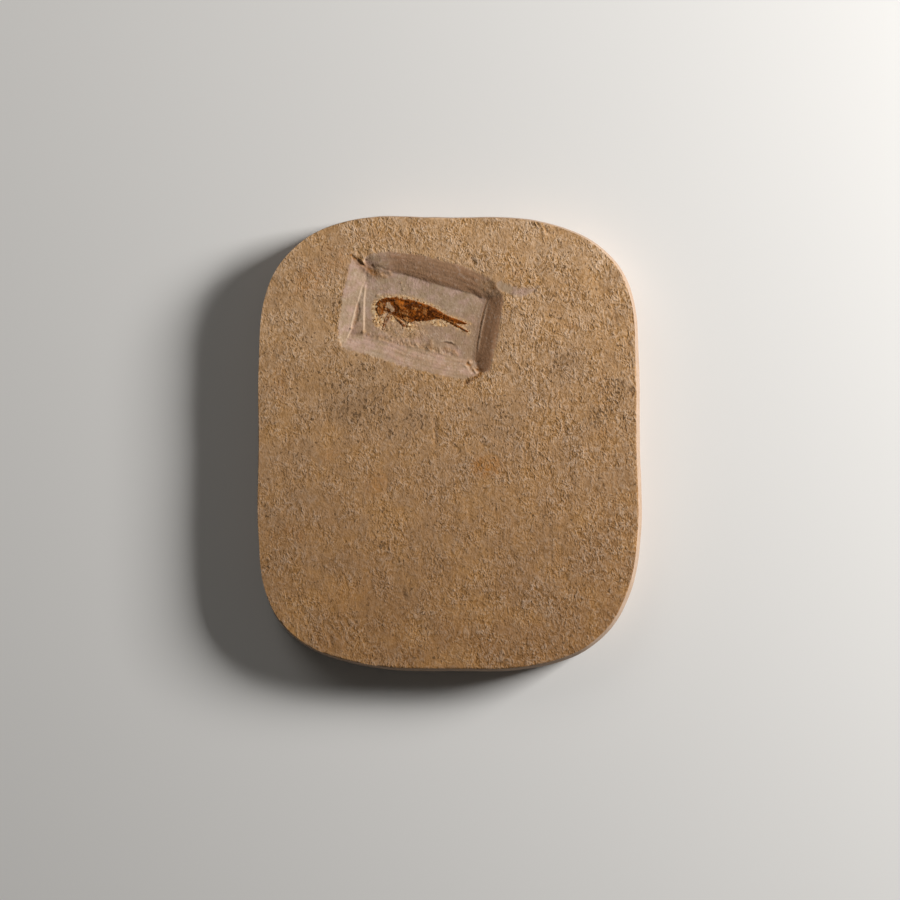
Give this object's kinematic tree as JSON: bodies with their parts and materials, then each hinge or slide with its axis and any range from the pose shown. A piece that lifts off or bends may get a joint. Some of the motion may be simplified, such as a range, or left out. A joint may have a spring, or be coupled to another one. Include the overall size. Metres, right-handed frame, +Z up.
{
  "type": "fossil lacewing in a limestone plate",
  "caption": "Small fossil insect in side view, exposed in a shallow scraped window of a flat, round-cornered plate of pale limestone.",
  "frame": {"origin": "centre of the flat underside the plate rests on", "axes": "+X to the insect's tail and the picture's right, +Y along the plate's length to the picture's top, +Z up out of the face with the fossil"},
  "size_m": [0.0776, 0.0918, 0.009],
  "materials": {
    "limestone": "matt, fine-grained, with smooth scraped strips round the window",
    "iron_oxide": "rust brown, matt with a faint sheen on the body"
  },
  "bodies": {
    "root": {"limestone_plate": "limestone", "lacewing": "iron_oxide"}
  },
  "joints": []
}
